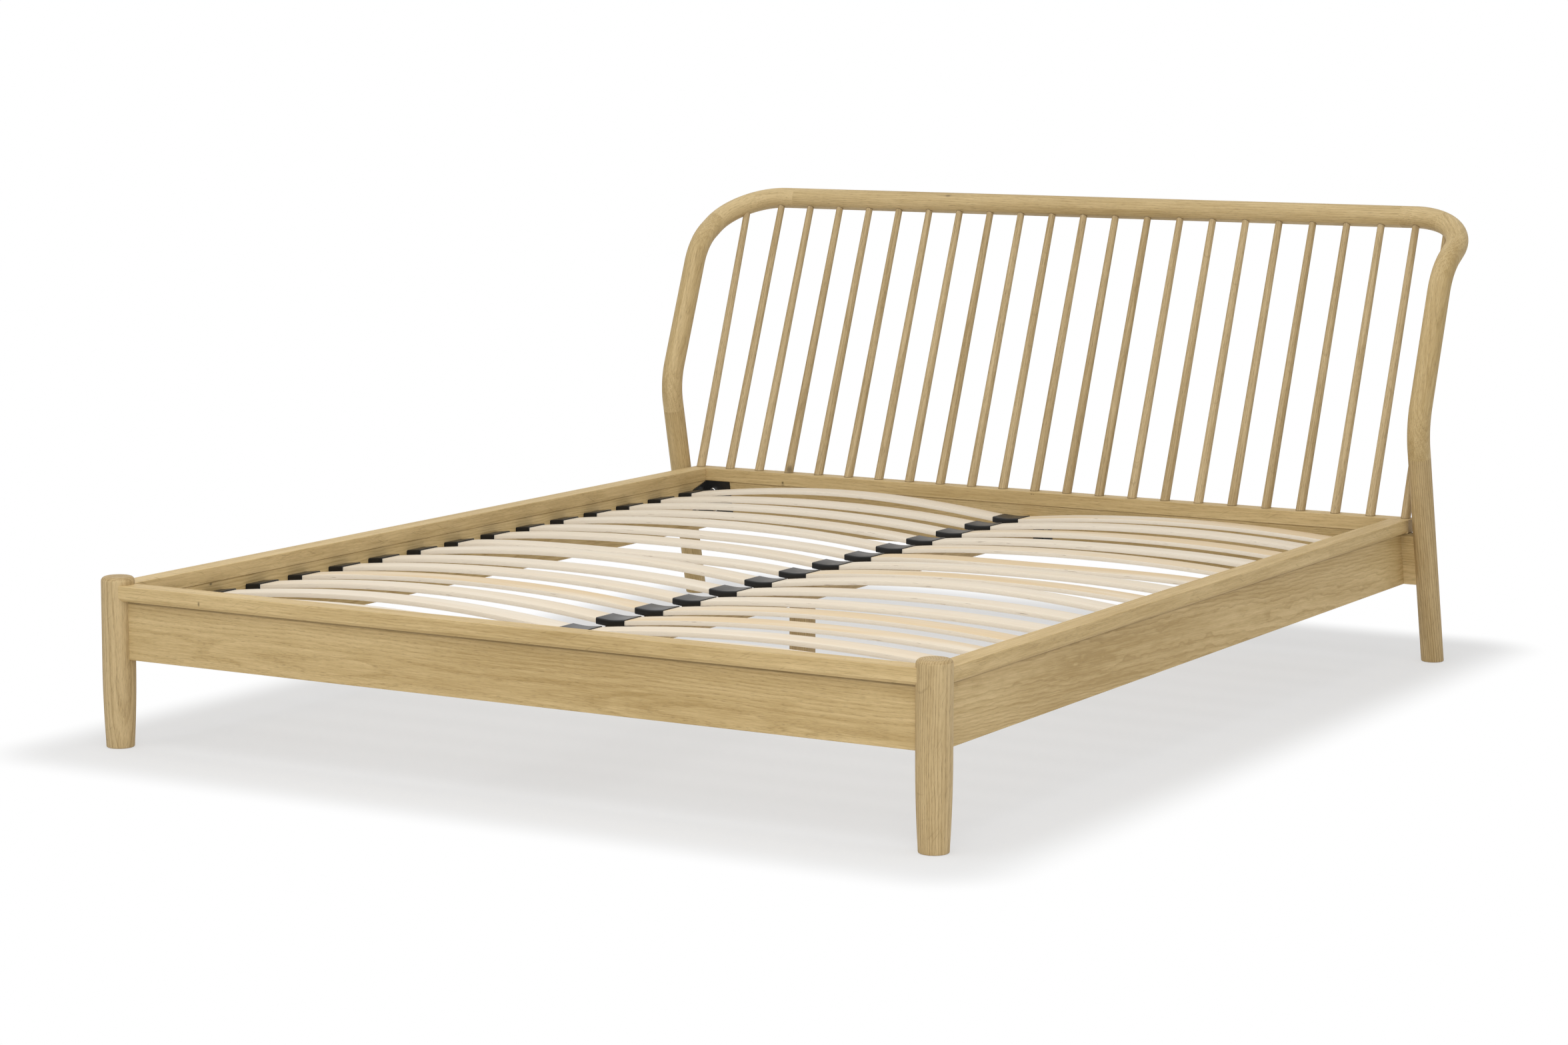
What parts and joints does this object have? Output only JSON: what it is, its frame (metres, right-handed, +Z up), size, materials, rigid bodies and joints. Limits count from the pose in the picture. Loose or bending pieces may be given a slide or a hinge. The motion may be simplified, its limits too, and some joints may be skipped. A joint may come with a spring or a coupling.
{
  "type": "bed frame",
  "caption": "Wooden bed frame with round legs, capped rails, a curved spindle headboard that leans back, and sprung slats held in plastic pockets and on a centre beam.",
  "frame": {"origin": "on the floor, below the middle of the frame's bounding box", "axes": "+Z up, +Y from the foot end to the headboard, +X to the right as seen from the foot end"},
  "size_m": [1.8108, 2.2863, 0.9143],
  "materials": {
    "oak": "matt lacquered oak",
    "oak_beam": "plain oak",
    "birch": "bent birch plywood",
    "dowel": "plain beech",
    "plastic": "black satin",
    "black_steel": "black",
    "bolt": "bright",
    "screw": "zinc"
  },
  "bodies": {
    "frame": {"beam_hangers": "black_steel", "centre_beam": "oak_beam", "centre_leg": "oak_beam", "corner_brackets_front": "black_steel", "corner_brackets_rear": "black_steel", "dowels": "dowel", "foot_rail": "oak", "foot_rail_cap": "oak", "front_leg_left": "oak", "front_leg_right": "oak", "head_rail": "oak", "head_rail_bolts": "bolt", "head_rail_cap": "oak", "headboard_bend_left": "oak", "headboard_bend_right": "oak", "headboard_spindles": "oak", "headboard_top_rail": "oak", "leg_bolts": "bolt", "rear_leg_left": "oak", "rear_leg_right": "oak", "side_rail_cap_left": "oak", "side_rail_cap_right": "oak", "side_rail_left": "oak", "side_rail_right": "oak", "slat_holders_centre": "plastic", "slat_pockets_left": "plastic", "slat_pockets_right": "plastic", "wood_screws": "screw"},
    "slat_left_01_spring": {"slat_left_01": "birch"},
    "slat_left_02_spring": {"slat_left_02": "birch"},
    "slat_left_03_spring": {"slat_left_03": "birch"},
    "slat_left_04_spring": {"slat_left_04": "birch"},
    "slat_left_05_spring": {"slat_left_05": "birch"},
    "slat_left_06_spring": {"slat_left_06": "birch"},
    "slat_left_07_spring": {"slat_left_07": "birch"},
    "slat_left_08_spring": {"slat_left_08": "birch"},
    "slat_left_09_spring": {"slat_left_09": "birch"},
    "slat_left_10_spring": {"slat_left_10": "birch"},
    "slat_left_11_spring": {"slat_left_11": "birch"},
    "slat_left_12_spring": {"slat_left_12": "birch"},
    "slat_left_13_spring": {"slat_left_13": "birch"},
    "slat_left_14_spring": {"slat_left_14": "birch"},
    "slat_left_15_spring": {"slat_left_15": "birch"},
    "slat_right_01_spring": {"slat_right_01": "birch"},
    "slat_right_02_spring": {"slat_right_02": "birch"},
    "slat_right_03_spring": {"slat_right_03": "birch"},
    "slat_right_04_spring": {"slat_right_04": "birch"},
    "slat_right_05_spring": {"slat_right_05": "birch"},
    "slat_right_06_spring": {"slat_right_06": "birch"},
    "slat_right_07_spring": {"slat_right_07": "birch"},
    "slat_right_08_spring": {"slat_right_08": "birch"},
    "slat_right_09_spring": {"slat_right_09": "birch"},
    "slat_right_10_spring": {"slat_right_10": "birch"},
    "slat_right_11_spring": {"slat_right_11": "birch"},
    "slat_right_12_spring": {"slat_right_12": "birch"},
    "slat_right_13_spring": {"slat_right_13": "birch"},
    "slat_right_14_spring": {"slat_right_14": "birch"},
    "slat_right_15_spring": {"slat_right_15": "birch"}
  },
  "joints": [
    {"name": "slat_left_01_flex", "type": "slide", "parent": "frame", "child": "slat_left_01_spring", "axis": [0, 0, 1], "range_m": [-0.022, 0], "stiffness_N_per_m": 3500, "springref_m": 0.002, "deforming": ["slat_left_01"]},
    {"name": "slat_left_02_flex", "type": "slide", "parent": "frame", "child": "slat_left_02_spring", "axis": [0, 0, 1], "range_m": [-0.022, 0], "stiffness_N_per_m": 3500, "springref_m": 0.002, "deforming": ["slat_left_02"]},
    {"name": "slat_left_03_flex", "type": "slide", "parent": "frame", "child": "slat_left_03_spring", "axis": [0, 0, 1], "range_m": [-0.022, 0], "stiffness_N_per_m": 3500, "springref_m": 0.002, "deforming": ["slat_left_03"]},
    {"name": "slat_left_04_flex", "type": "slide", "parent": "frame", "child": "slat_left_04_spring", "axis": [0, 0, 1], "range_m": [-0.022, 0], "stiffness_N_per_m": 3500, "springref_m": 0.002, "deforming": ["slat_left_04"]},
    {"name": "slat_left_05_flex", "type": "slide", "parent": "frame", "child": "slat_left_05_spring", "axis": [0, 0, 1], "range_m": [-0.022, 0], "stiffness_N_per_m": 3500, "springref_m": 0.002, "deforming": ["slat_left_05"]},
    {"name": "slat_left_06_flex", "type": "slide", "parent": "frame", "child": "slat_left_06_spring", "axis": [0, 0, 1], "range_m": [-0.022, 0], "stiffness_N_per_m": 3500, "springref_m": 0.002, "deforming": ["slat_left_06"]},
    {"name": "slat_left_07_flex", "type": "slide", "parent": "frame", "child": "slat_left_07_spring", "axis": [0, 0, 1], "range_m": [-0.022, 0], "stiffness_N_per_m": 3500, "springref_m": 0.002, "deforming": ["slat_left_07"]},
    {"name": "slat_left_08_flex", "type": "slide", "parent": "frame", "child": "slat_left_08_spring", "axis": [0, 0, 1], "range_m": [-0.022, 0], "stiffness_N_per_m": 3500, "springref_m": 0.002, "deforming": ["slat_left_08"]},
    {"name": "slat_left_09_flex", "type": "slide", "parent": "frame", "child": "slat_left_09_spring", "axis": [0, 0, 1], "range_m": [-0.022, 0], "stiffness_N_per_m": 3500, "springref_m": 0.002, "deforming": ["slat_left_09"]},
    {"name": "slat_left_10_flex", "type": "slide", "parent": "frame", "child": "slat_left_10_spring", "axis": [0, 0, 1], "range_m": [-0.022, 0], "stiffness_N_per_m": 3500, "springref_m": 0.002, "deforming": ["slat_left_10"]},
    {"name": "slat_left_11_flex", "type": "slide", "parent": "frame", "child": "slat_left_11_spring", "axis": [0, 0, 1], "range_m": [-0.022, 0], "stiffness_N_per_m": 3500, "springref_m": 0.002, "deforming": ["slat_left_11"]},
    {"name": "slat_left_12_flex", "type": "slide", "parent": "frame", "child": "slat_left_12_spring", "axis": [0, 0, 1], "range_m": [-0.022, 0], "stiffness_N_per_m": 3500, "springref_m": 0.002, "deforming": ["slat_left_12"]},
    {"name": "slat_left_13_flex", "type": "slide", "parent": "frame", "child": "slat_left_13_spring", "axis": [0, 0, 1], "range_m": [-0.022, 0], "stiffness_N_per_m": 3500, "springref_m": 0.002, "deforming": ["slat_left_13"]},
    {"name": "slat_left_14_flex", "type": "slide", "parent": "frame", "child": "slat_left_14_spring", "axis": [0, 0, 1], "range_m": [-0.022, 0], "stiffness_N_per_m": 3500, "springref_m": 0.002, "deforming": ["slat_left_14"]},
    {"name": "slat_left_15_flex", "type": "slide", "parent": "frame", "child": "slat_left_15_spring", "axis": [0, 0, 1], "range_m": [-0.022, 0], "stiffness_N_per_m": 3500, "springref_m": 0.002, "deforming": ["slat_left_15"]},
    {"name": "slat_right_01_flex", "type": "slide", "parent": "frame", "child": "slat_right_01_spring", "axis": [0, 0, 1], "range_m": [-0.022, 0], "stiffness_N_per_m": 3500, "springref_m": 0.002, "deforming": ["slat_right_01"]},
    {"name": "slat_right_02_flex", "type": "slide", "parent": "frame", "child": "slat_right_02_spring", "axis": [0, 0, 1], "range_m": [-0.022, 0], "stiffness_N_per_m": 3500, "springref_m": 0.002, "deforming": ["slat_right_02"]},
    {"name": "slat_right_03_flex", "type": "slide", "parent": "frame", "child": "slat_right_03_spring", "axis": [0, 0, 1], "range_m": [-0.022, 0], "stiffness_N_per_m": 3500, "springref_m": 0.002, "deforming": ["slat_right_03"]},
    {"name": "slat_right_04_flex", "type": "slide", "parent": "frame", "child": "slat_right_04_spring", "axis": [0, 0, 1], "range_m": [-0.022, 0], "stiffness_N_per_m": 3500, "springref_m": 0.002, "deforming": ["slat_right_04"]},
    {"name": "slat_right_05_flex", "type": "slide", "parent": "frame", "child": "slat_right_05_spring", "axis": [0, 0, 1], "range_m": [-0.022, 0], "stiffness_N_per_m": 3500, "springref_m": 0.002, "deforming": ["slat_right_05"]},
    {"name": "slat_right_06_flex", "type": "slide", "parent": "frame", "child": "slat_right_06_spring", "axis": [0, 0, 1], "range_m": [-0.022, 0], "stiffness_N_per_m": 3500, "springref_m": 0.002, "deforming": ["slat_right_06"]},
    {"name": "slat_right_07_flex", "type": "slide", "parent": "frame", "child": "slat_right_07_spring", "axis": [0, 0, 1], "range_m": [-0.022, 0], "stiffness_N_per_m": 3500, "springref_m": 0.002, "deforming": ["slat_right_07"]},
    {"name": "slat_right_08_flex", "type": "slide", "parent": "frame", "child": "slat_right_08_spring", "axis": [0, 0, 1], "range_m": [-0.022, 0], "stiffness_N_per_m": 3500, "springref_m": 0.002, "deforming": ["slat_right_08"]},
    {"name": "slat_right_09_flex", "type": "slide", "parent": "frame", "child": "slat_right_09_spring", "axis": [0, 0, 1], "range_m": [-0.022, 0], "stiffness_N_per_m": 3500, "springref_m": 0.002, "deforming": ["slat_right_09"]},
    {"name": "slat_right_10_flex", "type": "slide", "parent": "frame", "child": "slat_right_10_spring", "axis": [0, 0, 1], "range_m": [-0.022, 0], "stiffness_N_per_m": 3500, "springref_m": 0.002, "deforming": ["slat_right_10"]},
    {"name": "slat_right_11_flex", "type": "slide", "parent": "frame", "child": "slat_right_11_spring", "axis": [0, 0, 1], "range_m": [-0.022, 0], "stiffness_N_per_m": 3500, "springref_m": 0.002, "deforming": ["slat_right_11"]},
    {"name": "slat_right_12_flex", "type": "slide", "parent": "frame", "child": "slat_right_12_spring", "axis": [0, 0, 1], "range_m": [-0.022, 0], "stiffness_N_per_m": 3500, "springref_m": 0.002, "deforming": ["slat_right_12"]},
    {"name": "slat_right_13_flex", "type": "slide", "parent": "frame", "child": "slat_right_13_spring", "axis": [0, 0, 1], "range_m": [-0.022, 0], "stiffness_N_per_m": 3500, "springref_m": 0.002, "deforming": ["slat_right_13"]},
    {"name": "slat_right_14_flex", "type": "slide", "parent": "frame", "child": "slat_right_14_spring", "axis": [0, 0, 1], "range_m": [-0.022, 0], "stiffness_N_per_m": 3500, "springref_m": 0.002, "deforming": ["slat_right_14"]},
    {"name": "slat_right_15_flex", "type": "slide", "parent": "frame", "child": "slat_right_15_spring", "axis": [0, 0, 1], "range_m": [-0.022, 0], "stiffness_N_per_m": 3500, "springref_m": 0.002, "deforming": ["slat_right_15"]}
  ]
}
